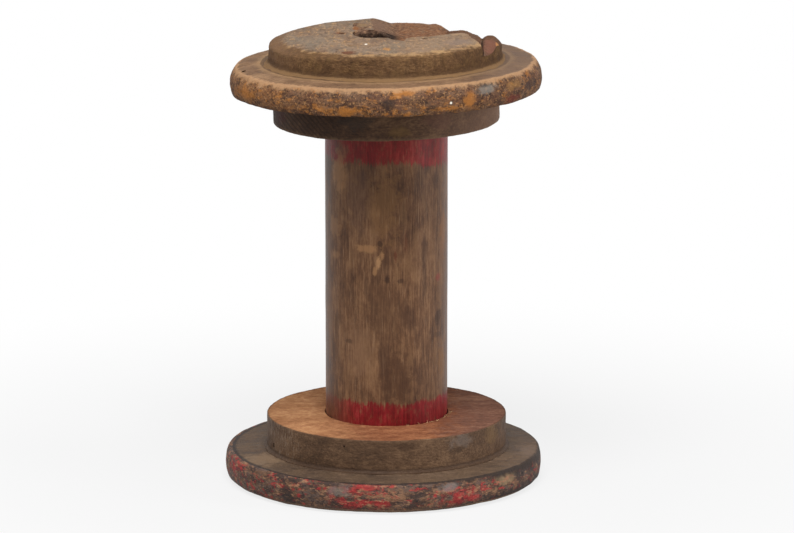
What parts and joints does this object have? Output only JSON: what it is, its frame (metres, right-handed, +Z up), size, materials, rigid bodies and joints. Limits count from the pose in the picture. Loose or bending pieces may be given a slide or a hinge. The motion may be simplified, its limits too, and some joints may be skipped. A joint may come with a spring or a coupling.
{
  "type": "thread spool",
  "caption": "Large wooden thread spool: a bored barrel between stepped round heads with painted rims, its upper head crooked and split at the hub.",
  "frame": {"origin": "on the axis of the spindle bore, in the face of the lower rim that the spool stands on", "axes": "+Z up the spindle bore to the split upper head, +X to the right in the picture, +Y away from the viewer"},
  "size_m": [0.1524, 0.1524, 0.2159],
  "materials": {
    "barrel": "worn satin patina with red painted bands",
    "lower_rim": "worn red paint on dark wood",
    "lower_collar": "dark patina outside, raw wood on top",
    "upper_collar": "dark patina",
    "upper_rim": "weathered, with worn edges",
    "hub_disc": "weathered grey, raw where it split",
    "pegs": "raw",
    "nails": "rusty"
  },
  "bodies": {
    "root": {"barrel": "barrel", "lower_rim": "lower_rim", "lower_collar": "lower_collar", "lower_pegs": "pegs", "lower_nails": "nails", "upper_collar": "upper_collar", "upper_rim": "upper_rim", "hub_disc": "hub_disc", "upper_pegs": "pegs", "upper_nails": "nails"}
  },
  "joints": []
}
